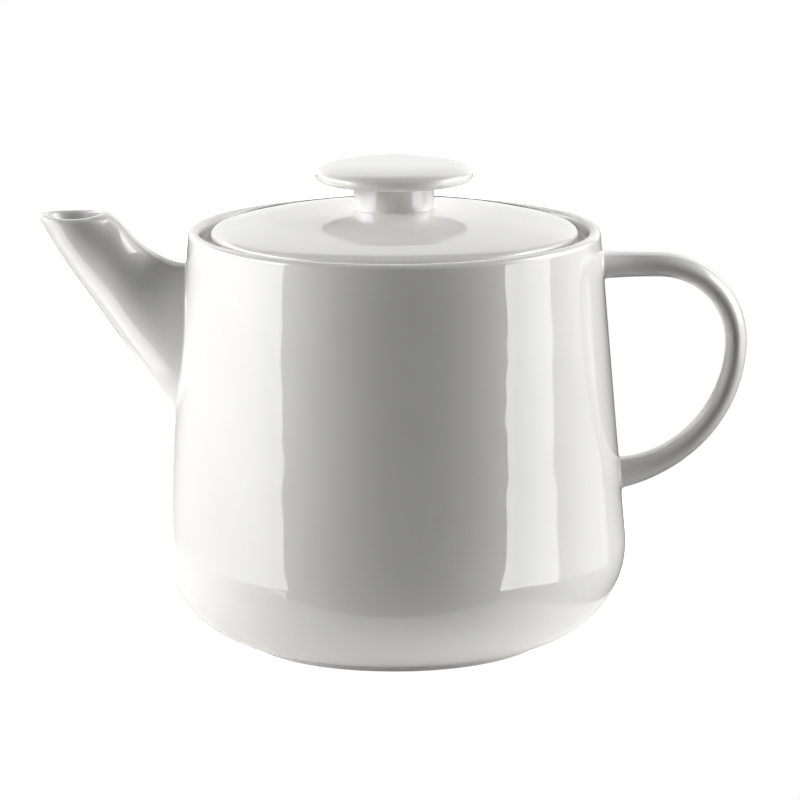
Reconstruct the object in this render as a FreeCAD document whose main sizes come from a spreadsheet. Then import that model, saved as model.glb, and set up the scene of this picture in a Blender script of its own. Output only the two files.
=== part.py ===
import FreeCAD, Part
import math
import os
import Sketcher
from FreeCAD import Placement, Rotation, Vector

# Glazed porcelain teapot: a pot turned about Z, a spout and a handle stuck on with slip, and a loose lid.
# Lengths are in millimetres. The spout points to -X, the handle to +X, and the foot stands on Z = 0.

doc = FreeCAD.newDocument("teapot")
sheet = doc.addObject("Spreadsheet::Sheet", "Sizes")

# Sizes that can be set by themselves

SIZES = [
    # Pot
    ("belly_radius", 70.0, "widest outside radius of the pot"),
    ("heel_radius", 28.2, "round between the wall and the foot"),
    ("foot_radius", 46.0, "outside radius of the foot ring"),
    ("foot_width", 5.0, "width of the foot ring"),
    ("foot_height", 1.5, "height of the foot ring outside"),
    ("foot_recess", 1.8, "depth of the hollow inside the foot ring"),
    ("rim_radius", 62.0, "outside radius at the lip"),
    ("rim_height", 125.4, "top of the lip above the table"),
    ("lip_thickness", 3.7, "thickness of the rounded lip"),
    ("wall_thickness", 4.0, "thickness of wall and floor"),
    ("ledge_depth", 4.1, "lid ledge below the top of the lip"),
    ("ledge_thickness", 4.0, "thickness of the lid ledge at its inner edge"),
    ("ledge_flare", 8.0, "height over which the ledge runs back into the wall"),
    ("ledge_width", 8.3, "width of the lid ledge inside the lip"),
    ("edge_round", 0.6, "small round on foot, ledge and lid flange"),
    # Strainer behind the spout
    ("strainer_height", 93.0, "centre of the strainer holes above the table"),
    ("strainer_hole_radius", 2.6, "radius of one strainer hole"),
    ("strainer_ring_radius", 8.5, "radius of the ring of strainer holes"),
    # Lid
    ("lid_gap", 3.1, "gap between the lid's edge and the lip, all round"),
    ("lid_edge_round", 2.65, "half the thickness of the rounded lid edge"),
    ("lid_height", 10.6, "top of the dome above the lid's seat"),
    ("lid_wall", 4.5, "thickness of the lid"),
    ("lid_flange_depth", 12.0, "depth of the locating flange below the seat"),
    ("lid_flange_wall", 3.6, "thickness of the locating flange"),
    ("lid_fit", 0.8, "radial clearance of the flange in the mouth"),
    ("seat_gap", 0.3, "gap between lid and ledge"),
    # Knob
    ("knob_radius", 23.8, "widest radius of the knob"),
    ("knob_edge_round", 1.9, "half the thickness of the knob's rounded edge"),
    ("knob_cap_height", 6.3, "height of the cap from its underside to its top"),
    ("knob_stem_radius", 12.1, "radius of the stem"),
    ("knob_stem_height", 8.0, "stem from the top of the lid to the cap"),
    ("knob_neck_round", 1.2, "round between stem and cap"),
    # Slip that joins the pieces
    ("slip_thickness", 0.4, "layer of slip under a stuck-on piece"),
    ("bead_height", 1.0, "height of the slip bead on the surface"),
    ("bead_width", 0.9, "width of the slip bead around the piece"),
    # Spout
    ("spout_rise", 5.4, "spout mouth above the top of the lip"),
    ("spout_reach", 45.4, "tip of the spout beyond the lip"),
    ("spout_slope", 55.6, "slope of the straight underside, in degrees"),
    ("spout_curl", 1.6, "how far the tip curls in from the line of the underside"),
    ("spout_root_drop", 60.7, "bottom of the root below the tip"),
    ("spout_root_top", 16.1, "top of the root below the tip"),
    ("spout_root_out", 3.5, "top of the root beyond the rim"),
    ("spout_mouth_length", 20.4, "outside length of the mouth"),
    ("spout_mouth_narrowing", 1.8, "how much narrower than long the mouth is"),
    ("spout_root_narrowing", 13.5, "how much narrower than tall the root is"),
    ("spout_wall", 2.6, "thickness of the spout's wall"),
    ("spout_lip_round", 0.8, "round on the edges of the mouth"),
    ("spout_dip", 0.7, "dip of the mouth's sides below its ends"),
    # Handle
    ("handle_drop", 11.0, "upper arm below the top of the lip"),
    ("handle_arm", 9.6, "upper arm beyond the belly to the start of the bend"),
    ("handle_bend", 23.4, "radius of the upper bend"),
    ("handle_sweep", 41.2, "radius of the long lower bend"),
    ("handle_thickness", 6.5, "thickness of the handle at the side"),
    ("handle_width", 12.0, "width of the handle along Y"),
]

# Sizes that follow from the others

DERIVED = [
    # Pot
    ("heel_centre_r", "belly_radius - heel_radius"),
    ("heel_centre_z", "foot_height + sqrt(heel_radius^2 - (foot_radius - heel_centre_r)^2)"),
    ("lip_round", "lip_thickness / 2"),
    ("lip_centre_r", "rim_radius - lip_round"),
    ("lip_centre_z", "rim_height - lip_round"),
    ("rim_inner_radius", "rim_radius - lip_thickness"),
    ("mouth_radius", "rim_inner_radius - ledge_width"),
    ("foot_inner_radius", "foot_radius - foot_width"),
    ("wall_span", "sqrt((rim_radius - heel_centre_r)^2 + (lip_centre_z - heel_centre_z)^2)"),
    ("wall_rise", "atan2(lip_centre_z - heel_centre_z; rim_radius - heel_centre_r)"),
    ("wall_lean", "wall_rise - acos(heel_radius / wall_span)"),
    ("wall_foot_r", "heel_centre_r + heel_radius * cos(wall_lean)"),
    ("wall_foot_z", "heel_centre_z + heel_radius * sin(wall_lean)"),
    ("heel_inner_radius", "heel_radius - wall_thickness"),
    ("inside_foot_r", "heel_centre_r + heel_inner_radius * cos(wall_lean)"),
    ("inside_foot_z", "heel_centre_z + heel_inner_radius * sin(wall_lean)"),
    ("floor_z", "heel_centre_z - heel_inner_radius"),
    ("ledge_z", "rim_height - ledge_depth"),
    ("ledge_under_z", "ledge_z - ledge_thickness"),
    ("flare_z", "ledge_under_z - ledge_flare"),
    ("flare_r", "inside_foot_r - (flare_z - inside_foot_z) * tan(wall_lean)"),
    # Lid
    ("seat_z", "ledge_z + seat_gap"),
    ("lid_radius", "rim_inner_radius - lid_gap"),
    ("lid_edge_r", "lid_radius - lid_edge_round"),
    ("lid_edge_z", "seat_z + lid_edge_round"),
    ("lid_top_z", "seat_z + lid_height"),
    ("lid_rise", "lid_height - lid_edge_round"),
    ("lid_dome", "(lid_edge_r^2 + lid_rise^2 - lid_edge_round^2) / (2 * (lid_rise - lid_edge_round))"),
    ("lid_dome_z", "lid_top_z - lid_dome"),
    ("lid_crease_r", "lid_edge_r * lid_dome / (lid_dome - lid_edge_round)"),
    ("lid_crease_z", "lid_dome_z + (lid_edge_z - lid_dome_z) * lid_dome / (lid_dome - lid_edge_round)"),
    ("flange_radius", "mouth_radius - lid_fit"),
    ("flange_inner_radius", "flange_radius - lid_flange_wall"),
    ("flange_z", "seat_z - lid_flange_depth"),
    ("lid_inner_dome", "lid_dome - lid_wall"),
    ("lid_inner_z", "lid_top_z - lid_wall"),
    ("flange_top_z", "lid_dome_z + sqrt(lid_inner_dome^2 - flange_inner_radius^2)"),
    # Knob
    ("stem_dome", "lid_dome + slip_thickness"),
    ("stem_foot_z", "lid_top_z + slip_thickness"),
    ("stem_side_z", "lid_dome_z + sqrt(stem_dome^2 - knob_stem_radius^2)"),
    ("cap_z", "lid_top_z + knob_stem_height"),
    ("cap_edge_r", "knob_radius - knob_edge_round"),
    ("cap_edge_z", "cap_z + knob_edge_round"),
    ("cap_top_z", "cap_z + knob_cap_height"),
    ("cap_rise", "knob_cap_height - knob_edge_round"),
    ("cap_dome", "(cap_edge_r^2 + cap_rise^2 - knob_edge_round^2) / (2 * (cap_rise - knob_edge_round))"),
    ("cap_dome_z", "cap_top_z - cap_dome"),
    ("cap_crease_r", "cap_edge_r * cap_dome / (cap_dome - knob_edge_round)"),
    ("cap_crease_z", "cap_dome_z + (cap_edge_z - cap_dome_z) * cap_dome / (cap_dome - knob_edge_round)"),
    ("bead_radius", "knob_stem_radius + bead_width"),
    ("bead_side_z", "lid_dome_z + sqrt(lid_dome^2 - bead_radius^2)"),
    ("bead_top_z", "stem_side_z + bead_height"),
    # Spout
    ("spout_mouth_z", "rim_height + spout_rise"),
    ("spout_tip_x", "-(rim_radius + spout_reach)"),
    ("spout_tip_z", "spout_mouth_z + spout_dip"),
    ("spout_line_x", "spout_tip_x - spout_curl"),
    ("spout_line_run", "spout_root_drop / tan(spout_slope)"),
    ("spout_heel_x", "spout_tip_x + spout_mouth_length"),
    ("spout_root_x", "-(rim_radius + spout_root_out)"),
    ("spout_root_z", "spout_tip_z - spout_root_top"),
    ("spout_mouth_x", "(spout_tip_x + spout_heel_x) / 2"),
    ("spout_dip_radius", "spout_mouth_length^2 / (8 * spout_dip) + spout_dip / 2"),
    ("spout_dip_z", "spout_mouth_z - spout_dip + spout_dip_radius"),
    # Handle
    ("handle_z", "rim_height - handle_drop"),
    ("bend_x", "belly_radius + handle_arm"),
    ("bend_z", "handle_z - handle_bend"),
    ("sweep_x", "bend_x + handle_bend - handle_sweep"),
]

# How much the ovals of spout and handle grow for the pieces that follow them

GROWTH = [
    ("as_drawn", "0"),
    ("to_bore", "-2 * spout_wall"),
    ("to_slip_bore", "-2 * (spout_wall - slip_thickness)"),
    ("to_bead", "2 * bead_width"),
]

# Surfaces that lie a set distance outside the pot: the skin itself, the slip on it and the top of the bead

SURFACES = [
    ("skin", "0"),
    ("slip", "slip_thickness"),
    ("bead", "bead_height"),
]

# Spout ovals from inside the wall to the mouth. The low end is a share of the way up the straight
# underside, the top end is a share of the way across and up from the root to the mouth, and the last
# share is how much of the root's narrowing is left

SPOUT_OVALS = [
    (-0.19, -0.45, -0.025, 1.68),
    (0.02, 0.0, 0.0, 1.0),
    (0.20, 0.351, 0.217, 0.66),
    (0.39, 0.573, 0.46, 0.31),
    (0.58, 0.725, 0.702, 0.10),
    (0.77, 0.867, 0.876, 0.0),
    (1.0, 1.0, 1.0, 0.0),
]

# Handle ovals: a share of the way along the straight arm, or an angle on the upper bend or on the long
# sweep, then thickness and width as multiples of the handle's own

ARM_OVALS = [(-0.35, 1.34, 1.16), (0.12, 1.24, 1.10), (0.5, 1.14, 1.02)]
BEND_OVALS = [(90, 1.11, 1.0), (60, 1.08, 1.0), (30, 1.03, 1.0), (0, 1.0, 1.0)]
SWEEP_OVALS = [(-22, 1.0, 1.0), (-44, 1.02, 1.0), (-62, 1.12, 1.0), (-76, 1.32, 1.06), (-90, 1.62, 1.16)]

STRAINER_RING_HOLES = 6


def add_cell(name, content, note=""):
    """Adds one named value to the sheet."""
    row = sheet_rows[0] + 1
    sheet_rows[0] = row
    sheet.set(f"A{row}", name)
    sheet.set(f"B{row}", content)
    sheet.set(f"C{row}", note)
    sheet.setAlias(f"B{row}", name)


def value(name):
    """Gives the number in a named cell, or 0 for a point on an axis."""
    if name is None:
        return 0.0
    number = sheet.get(name)
    return float(getattr(number, "Value", number))


def fill_sheet():
    """Writes all sizes, and what follows from them, into the sheet."""
    for name, number, note in SIZES:
        add_cell(name, str(number), note)
    for name, formula in DERIVED + GROWTH:
        add_cell(name, "=" + formula)
    for name, offset in SURFACES:
        add_cell(f"{name}_heel", f"=heel_radius + {offset}")
        add_cell(f"{name}_low_z", f"=heel_centre_z - sqrt({name}_heel^2 - (foot_radius - heel_centre_r)^2)")
        add_cell(f"{name}_foot_r", f"=heel_centre_r + {name}_heel * cos(wall_lean)")
        add_cell(f"{name}_foot_z", f"=heel_centre_z + {name}_heel * sin(wall_lean)")
        add_cell(f"{name}_rim_r", f"=rim_radius + ({offset}) * cos(wall_lean)")
        add_cell(f"{name}_rim_z", f"=lip_centre_z + ({offset}) * sin(wall_lean)")
    add_cell("outside_r", "=belly_radius + spout_reach + handle_bend + handle_arm")
    for k, (low, across, up, narrowing) in enumerate(SPOUT_OVALS):
        key = f"spout_{k}"
        curl = " + spout_curl" if low == 1.0 else ""
        add_cell(f"{key}_low_x", f"=spout_line_x + {1 - low} * spout_line_run{curl}")
        add_cell(f"{key}_low_z", f"=spout_tip_z - {1 - low} * spout_root_drop")
        add_cell(f"{key}_top_x", f"=spout_root_x + {across} * (spout_heel_x - spout_root_x)")
        add_cell(f"{key}_top_z", f"=spout_root_z + {up} * spout_root_top")
        add_cell(f"{key}_x", f"=({key}_low_x + {key}_top_x) / 2")
        add_cell(f"{key}_z", f"=({key}_low_z + {key}_top_z) / 2")
        add_cell(f"{key}_turn", f"=-atan2({key}_top_z - {key}_low_z; {key}_top_x - {key}_low_x)")
        add_cell(f"{key}_deep", f"=sqrt(({key}_top_x - {key}_low_x)^2 + ({key}_top_z - {key}_low_z)^2)")
        extra = f"{narrowing} * (spout_root_narrowing - spout_mouth_narrowing)"
        add_cell(f"{key}_less", f"=spout_mouth_narrowing + {extra}")
        add_cell(f"{key}_wide", f"={key}_deep - {key}_less")
    places = []
    for share, thick, wide in ARM_OVALS:
        places.append((f"rim_radius + {share} * (bend_x - rim_radius)", "handle_z", "90", thick, wide))
    for angle, thick, wide in BEND_OVALS:
        x = f"bend_x + handle_bend * cos({angle})"
        z = f"bend_z + handle_bend * sin({angle})"
        places.append((x, z, str(180 - angle), thick, wide))
    for angle, thick, wide in SWEEP_OVALS:
        x = f"sweep_x + handle_sweep * cos({angle})"
        z = f"bend_z + handle_sweep * sin({angle})"
        places.append((x, z, str(180 - angle), thick, wide))
    for k, (x, z, turn, thick, wide) in enumerate(places):
        key = f"handle_{k}"
        add_cell(f"{key}_x", f"={x}")
        add_cell(f"{key}_z", f"={z}")
        add_cell(f"{key}_turn", f"={turn}")
        add_cell(f"{key}_deep", f"=handle_thickness * {thick}")
        add_cell(f"{key}_wide", f"=handle_width * {wide}")
    doc.recompute()


def new_body(name):
    """Starts a piece with its own name and place."""
    body = doc.addObject("PartDesign::Body", name)
    body.Label = name
    body.Placement = Placement()
    return body


def new_sketch(body, name, role):
    """Starts a sketch on one of the body's own planes."""
    sketch = body.newObject("Sketcher::SketchObject", name)
    plane = [item for item in body.Origin.OriginFeatures if item.Role == role][0]
    sketch.AttachmentSupport = [(plane, "")]
    sketch.MapMode = "FlatFace"
    sketch.Visibility = False
    return sketch


def bind(sketch, constraint, name):
    """Adds a constraint whose size is a named cell."""
    index = sketch.addConstraint(constraint)
    sketch.setExpression(f"Constraints[{index}]", f"Sizes.{name}")


def arc_between(start, end, radius, turn):
    """Gives the short arc from start to end, with turn 1 for counter-clockwise and -1 for clockwise."""
    chord = end - start
    across = Vector(-chord.y, chord.x, 0).normalize()
    height = math.sqrt(max(radius**2 - (chord.Length / 2) ** 2, 0.0))
    centre = (start + end) * 0.5 + across * height * turn
    first, last = (start, end) if turn > 0 else (end, start)
    angles = [math.atan2(p.y - centre.y, p.x - centre.x) for p in (first, last)]
    if angles[1] < angles[0]:
        angles[1] += 2 * math.pi
    return Part.ArcOfCircle(Part.Circle(centre, Vector(0, 0, 1), radius), angles[0], angles[1])


def draw_outline(sketch, corners, arcs):
    """Draws a closed outline through corners, with an arc instead of a line after the corners in arcs."""
    points = [Vector(value(x), value(z), 0) for x, z in corners]
    count = len(points)
    for i, start in enumerate(points):
        end = points[(i + 1) % count]
        if i in arcs:
            name, turn = arcs[i]
            sketch.addGeometry(arc_between(start, end, value(name), turn))
        else:
            sketch.addGeometry(Part.LineSegment(start, end))
    backwards = [i in arcs and arcs[i][1] < 0 for i in range(count)]
    for i, (x, z) in enumerate(corners):
        before = (i - 1) % count
        here = 2 if backwards[i] else 1
        there = 1 if backwards[before] else 2
        sketch.addConstraint(Sketcher.Constraint("Coincident", before, there, i, here))
        if x is None:
            sketch.addConstraint(Sketcher.Constraint("PointOnObject", i, here, -2))
        else:
            bind(sketch, Sketcher.Constraint("DistanceX", -1, 1, i, here, value(x)), x)
        if z is None:
            sketch.addConstraint(Sketcher.Constraint("PointOnObject", i, here, -1))
        else:
            bind(sketch, Sketcher.Constraint("DistanceY", -1, 1, i, here, value(z)), z)
        if i in arcs:
            bind(sketch, Sketcher.Constraint("Radius", i, value(arcs[i][0])), arcs[i][0])


def lathe(body, kind, name, corners, arcs):
    """Turns an outline about Z, as added or cut material."""
    sketch = new_sketch(body, f"{name}_outline", "XZ_Plane")
    draw_outline(sketch, corners, arcs)
    feature = body.newObject(kind, name)
    feature.Profile = sketch
    feature.ReferenceAxis = (sketch, ["V_Axis"])
    feature.Angle = 360
    doc.recompute()
    return feature


def cut_inside(body, name, surface):
    """Cuts a piece back to a surface of the pot, so that it ends in a saddle."""
    corners = [
        (None, f"{surface}_low_z"),
        ("foot_radius", f"{surface}_low_z"),
        (f"{surface}_foot_r", f"{surface}_foot_z"),
        (f"{surface}_rim_r", f"{surface}_rim_z"),
        (None, f"{surface}_rim_z"),
    ]
    return lathe(body, "PartDesign::Groove", name, corners, {1: (f"{surface}_heel", 1)})


def cut_outside(body, name, surface):
    """Cuts away what lies outside a surface of the pot."""
    corners = [
        ("foot_radius", f"{surface}_low_z"),
        ("outside_r", f"{surface}_low_z"),
        ("outside_r", f"{surface}_rim_z"),
        (f"{surface}_rim_r", f"{surface}_rim_z"),
        (f"{surface}_foot_r", f"{surface}_foot_z"),
    ]
    return lathe(body, "PartDesign::Groove", name, corners, {4: (f"{surface}_heel", -1)})


def round_edges(body, name, base, edges, radius):
    """Rounds edges of a feature."""
    feature = body.newObject("PartDesign::Fillet", name)
    feature.Base = (base, edges)
    feature.Radius = value(radius)
    feature.setExpression("Radius", f"Sizes.{radius}")
    doc.recompute()
    return feature


def ring_edges(feature, places):
    """Finds the full circles about Z at the given pairs of radius and height."""
    found = []
    for number, edge in enumerate(feature.Shape.Edges, 1):
        if edge.Degenerated or not isinstance(edge.Curve, Part.Circle):
            continue
        for radius, height in places:
            close = abs(edge.Curve.Radius - value(radius)) < 1e-4
            if close and abs(edge.Curve.Center.z - value(height)) < 1e-4:
                found.append(f"Edge{number}")
    return found


def oval(body, name, key, growth):
    """Draws one oval of spout or handle in four quarters: deep in the XZ plane and wide along Y."""
    sketch = new_sketch(body, name, "XY_Plane")
    sketch.AttachmentOffset = Placement(Vector(), Rotation(Vector(0, 1, 0), 45))
    sketch.setExpression("AttachmentOffset.Base.x", f"Sizes.{key}_x")
    sketch.setExpression("AttachmentOffset.Base.z", f"Sizes.{key}_z")
    sketch.setExpression("AttachmentOffset.Rotation.Angle", f"Sizes.{key}_turn")
    deep = (value(f"{key}_deep") + value(growth)) / 2
    wide = (value(f"{key}_wide") + value(growth)) / 2
    upright = deep >= wide
    ends = (Vector(deep, 0, 0), Vector(0, wide, 0)) if upright else (Vector(0, wide, 0), Vector(-deep, 0, 0))
    outline = Part.Ellipse(ends[0], ends[1], Vector())
    quarter = math.pi / 2
    for k in range(4):
        sketch.addGeometry(Part.ArcOfEllipse(outline, k * quarter, (k + 1) * quarter))
    for k in range(4):
        sketch.addConstraint(Sketcher.Constraint("Coincident", k, 3, -1, 1))
        sketch.addConstraint(Sketcher.Constraint("Coincident", k, 2, (k + 1) % 4, 1))
    for k in range(4):
        across = (k % 2 == 0) == upright
        side, half = ("deep", deep) if across else ("wide", wide)
        sketch.addConstraint(Sketcher.Constraint("PointOnObject", k, 1, -1 if across else -2))
        index = sketch.addConstraint(Sketcher.Constraint("Distance", -1, 1, k, 1, half))
        sketch.setExpression(f"Constraints[{index}]", f"(Sizes.{key}_{side} + Sizes.{growth}) / 2")
        line = sketch.GeometryCount
        sketch.exposeInternalGeometry(k)
        sketch.addConstraint(Sketcher.Constraint("Horizontal" if upright else "Vertical", line))
    return sketch


def loft(body, kind, name, keys, growth="as_drawn"):
    """Joins a row of ovals into one smooth length of spout or handle."""
    ovals = [oval(body, f"{name}_oval_{key}", key, growth) for key in keys]
    doc.recompute()
    feature = body.newObject(kind, name)
    feature.Profile = ovals[0]
    feature.Sections = ovals[1:]
    doc.recompute()
    return feature


def make_pot():
    """Pot: foot ring, heel, wall, rounded lip, ledge for the lid and strainer holes behind the spout."""
    body = new_body("pot_body")
    corners = [
        ("foot_inner_radius", None),
        ("foot_radius", None),
        ("foot_radius", "foot_height"),
        ("wall_foot_r", "wall_foot_z"),
        ("rim_radius", "lip_centre_z"),
        ("lip_centre_r", "rim_height"),
        ("rim_inner_radius", "lip_centre_z"),
        ("rim_inner_radius", "ledge_z"),
        ("mouth_radius", "ledge_z"),
        ("mouth_radius", "ledge_under_z"),
        ("flare_r", "flare_z"),
        ("inside_foot_r", "inside_foot_z"),
        ("heel_centre_r", "floor_z"),
        (None, "floor_z"),
        (None, "foot_recess"),
        ("foot_inner_radius", "foot_recess"),
    ]
    arcs = {
        2: ("heel_radius", 1),
        4: ("lip_round", 1),
        5: ("lip_round", 1),
        11: ("heel_inner_radius", -1),
    }
    wall = lathe(body, "PartDesign::Revolution", "pot_wall", corners, arcs)
    sharp = [
        ("foot_radius", None),
        ("foot_inner_radius", None),
        ("mouth_radius", "ledge_z"),
        ("mouth_radius", "ledge_under_z"),
        ("rim_inner_radius", "ledge_z"),
    ]
    round_edges(body, "pot_edges", wall, ring_edges(wall, sharp), "edge_round")
    pockets = []
    for name, ring in (("strainer_centre", None), ("strainer_ring", "strainer_ring_radius")):
        sketch = new_sketch(body, f"{name}_hole", "YZ_Plane")
        sketch.setExpression("AttachmentOffset.Base.y", "Sizes.strainer_height")
        sketch.addGeometry(Part.Circle(Vector(0, value(ring), 0), Vector(0, 0, 1), value("strainer_hole_radius")))
        sketch.addConstraint(Sketcher.Constraint("PointOnObject", 0, 3, -2))
        if ring is None:
            sketch.addConstraint(Sketcher.Constraint("PointOnObject", 0, 3, -1))
        else:
            bind(sketch, Sketcher.Constraint("DistanceY", -1, 1, 0, 3, value(ring)), ring)
        bind(sketch, Sketcher.Constraint("Radius", 0, value("strainer_hole_radius")), "strainer_hole_radius")
        pocket = body.newObject("PartDesign::Pocket", name)
        pocket.Profile = sketch
        pocket.Type = "ThroughAll"
        doc.recompute()
        pockets.append(pocket)
    pattern = body.newObject("PartDesign::PolarPattern", "strainer_holes")
    pattern.Originals = [pockets[1]]
    pattern.Axis = (pockets[1].Profile[0], ["N_Axis"])
    pattern.Angle = 360
    pattern.Occurrences = STRAINER_RING_HOLES
    body.Tip = pattern
    doc.recompute()
    return body


def make_spout():
    """Spout: a hollow tapering tube with a straight underside, cut off level at the mouth."""
    body = new_body("spout")
    keys = [f"spout_{k}" for k in range(len(SPOUT_OVALS))]
    loft(body, "PartDesign::AdditiveLoft", "spout_outside", keys)
    loft(body, "PartDesign::SubtractiveLoft", "spout_bore", keys, "to_bore")
    sketch = new_sketch(body, "spout_mouth_circle", "XZ_Plane")
    sketch.setExpression("AttachmentOffset.Base.x", "Sizes.spout_mouth_x")
    sketch.setExpression("AttachmentOffset.Base.y", "Sizes.spout_dip_z")
    sketch.addGeometry(Part.Circle(Vector(), Vector(0, 0, 1), value("spout_dip_radius")))
    sketch.addConstraint(Sketcher.Constraint("Coincident", 0, 3, -1, 1))
    bind(sketch, Sketcher.Constraint("Radius", 0, value("spout_dip_radius")), "spout_dip_radius")
    mouth = body.newObject("PartDesign::Pocket", "spout_mouth")
    mouth.Profile = sketch
    mouth.Type = "ThroughAll"
    mouth.Midplane = True
    doc.recompute()
    level = value("spout_mouth_z") - 2 * value("spout_dip")
    rims = []
    for number, edge in enumerate(mouth.Shape.Edges, 1):
        if edge.BoundBox.ZMin > level:
            rims.append(f"Edge{number}")
    round_edges(body, "spout_lip", mouth, rims, "spout_lip_round")
    cut_inside(body, "spout_saddle", "slip")
    return body


def make_handle():
    """Handle: an oval loop that swells towards both ends."""
    body = new_body("handle")
    count = len(ARM_OVALS) + len(BEND_OVALS) + len(SWEEP_OVALS)
    loft(body, "PartDesign::AdditiveLoft", "handle_loop", [f"handle_{k}" for k in range(count)])
    cut_inside(body, "handle_saddles", "slip")
    return body


def make_slip(name, keys, piece, bored=False):
    """Slip under the end of a stuck-on piece, with the bead that is squeezed out around it."""
    blank = new_body(f"{name}_blank")
    loft(blank, "PartDesign::AdditiveLoft", f"{name}_bead", keys, "to_bead")
    if bored:
        loft(blank, "PartDesign::SubtractiveLoft", f"{name}_bore", keys, "to_slip_bore")
    cut_inside(blank, f"{name}_underside", "skin")
    cut_outside(blank, f"{name}_top", "bead")
    slip = doc.addObject("Part::Cut", name)
    slip.Label = name
    slip.Base = blank
    slip.Tool = piece
    doc.recompute()
    return slip


def make_lid():
    """Lid: a low dome with a rounded edge and a flange that drops into the mouth."""
    body = new_body("lid")
    corners = [
        (None, "lid_inner_z"),
        ("flange_inner_radius", "flange_top_z"),
        ("flange_inner_radius", "flange_z"),
        ("flange_radius", "flange_z"),
        ("flange_radius", "seat_z"),
        ("lid_edge_r", "seat_z"),
        ("lid_radius", "lid_edge_z"),
        ("lid_crease_r", "lid_crease_z"),
        (None, "lid_top_z"),
    ]
    arcs = {
        0: ("lid_inner_dome", -1),
        5: ("lid_edge_round", 1),
        6: ("lid_edge_round", 1),
        7: ("lid_dome", 1),
    }
    dome = lathe(body, "PartDesign::Revolution", "lid_dome_body", corners, arcs)
    sharp = [("flange_inner_radius", "flange_z"), ("flange_radius", "flange_z")]
    round_edges(body, "lid_edges", dome, ring_edges(dome, sharp), "edge_round")
    return body


def make_knob():
    """Knob: a short stem and a wide flat cap with a rounded edge."""
    body = new_body("knob")
    corners = [
        (None, "stem_foot_z"),
        ("knob_stem_radius", "stem_side_z"),
        ("knob_stem_radius", "cap_z"),
        ("cap_edge_r", "cap_z"),
        ("knob_radius", "cap_edge_z"),
        ("cap_crease_r", "cap_crease_z"),
        (None, "cap_top_z"),
    ]
    arcs = {
        0: ("stem_dome", -1),
        3: ("knob_edge_round", 1),
        4: ("knob_edge_round", 1),
        5: ("cap_dome", 1),
    }
    turned = lathe(body, "PartDesign::Revolution", "knob_turned", corners, arcs)
    neck = ring_edges(turned, [("knob_stem_radius", "cap_z")])
    round_edges(body, "knob_neck", turned, neck, "knob_neck_round")
    return body


def make_knob_slip():
    """Slip under the knob's stem, with its bead."""
    body = new_body("knob_luting")
    corners = [
        (None, "lid_top_z"),
        ("bead_radius", "bead_side_z"),
        ("knob_stem_radius", "bead_top_z"),
        ("knob_stem_radius", "stem_side_z"),
        (None, "stem_foot_z"),
    ]
    arcs = {0: ("lid_dome", -1), 3: ("stem_dome", 1)}
    lathe(body, "PartDesign::Revolution", "knob_bead", corners, arcs)
    return body


def check_and_write(pieces):
    """Stops on any fault, then writes each piece to its own file."""
    for item in doc.Objects:
        if "Invalid" in item.State or "Error" in item.State:
            raise RuntimeError(f"{item.Name} did not build")
    os.makedirs("parts", exist_ok=True)
    for piece in pieces:
        shape = piece.Shape
        if shape.isNull() or not shape.isValid() or len(shape.Solids) != 1:
            raise RuntimeError(f"{piece.Label} is not one valid solid")
        shape.exportStep(f"parts/{piece.Label}.step")
        box = shape.BoundBox
        print(piece.Label, round(shape.Volume), [round(v, 2) for v in (
            box.XMin, box.XMax, box.YMin, box.YMax, box.ZMin, box.ZMax)])


sheet_rows = [0]
fill_sheet()
pot = make_pot()
spout = make_spout()
handle = make_handle()
last_oval = len(ARM_OVALS) + len(BEND_OVALS) + len(SWEEP_OVALS) - 1
spout_slip = make_slip("spout_luting", ["spout_0", "spout_1", "spout_2"], spout, bored=True)
upper_slip = make_slip("handle_upper_luting", ["handle_0", "handle_1", "handle_2"], handle)
lower_keys = [f"handle_{last_oval - k}" for k in (2, 1, 0)]
lower_slip = make_slip("handle_lower_luting", lower_keys, handle)
lid = make_lid()
knob = make_knob()
knob_slip = make_knob_slip()
doc.recompute()
check_and_write([pot, spout, handle, spout_slip, upper_slip, lower_slip, lid, knob, knob_slip])
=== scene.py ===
"""Glazed porcelain teapot: turned pot, lid and knob, a drawn spout, a loop handle and their slip."""

import logging
import math
from dataclasses import dataclass, field, replace
from enum import Enum

import bmesh
import bpy
import numpy as np
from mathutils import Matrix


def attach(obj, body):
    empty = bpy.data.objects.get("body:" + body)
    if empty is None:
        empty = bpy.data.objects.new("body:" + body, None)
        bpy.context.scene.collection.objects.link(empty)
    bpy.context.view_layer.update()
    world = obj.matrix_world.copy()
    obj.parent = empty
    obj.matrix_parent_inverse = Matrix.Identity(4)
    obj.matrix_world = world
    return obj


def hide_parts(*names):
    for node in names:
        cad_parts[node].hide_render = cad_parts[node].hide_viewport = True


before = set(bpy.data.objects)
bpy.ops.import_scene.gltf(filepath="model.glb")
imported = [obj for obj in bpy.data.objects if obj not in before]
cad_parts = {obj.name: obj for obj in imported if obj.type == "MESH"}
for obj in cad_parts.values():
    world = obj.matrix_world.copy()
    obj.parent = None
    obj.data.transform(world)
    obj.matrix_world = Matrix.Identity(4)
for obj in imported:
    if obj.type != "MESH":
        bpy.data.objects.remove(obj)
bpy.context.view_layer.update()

MM = 0.001
SAME_POINT = 1e-4
SEAM_DISTANCE = 1e-6
DOUBLE_DISTANCE = 1e-7
SLIVER_LENGTH = 1e-8
CRISP_ANGLE = 38.0

Colour = tuple[float, float, float]
Point = tuple[float, float]
Oval = tuple[float, float, float]
Material = bpy.types.Material
Mesh = bpy.types.Mesh
Socket = bpy.types.NodeSocket

log = logging.getLogger("teapot")


class Body(Enum):
    """The two bodies that move against each other."""

    POT = "pot"
    LID = "lid"


class Slot(Enum):
    """The finishes that the record names."""

    GLAZE = "glazed_porcelain"
    SLIP = "slip_joint"


# small helpers


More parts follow.
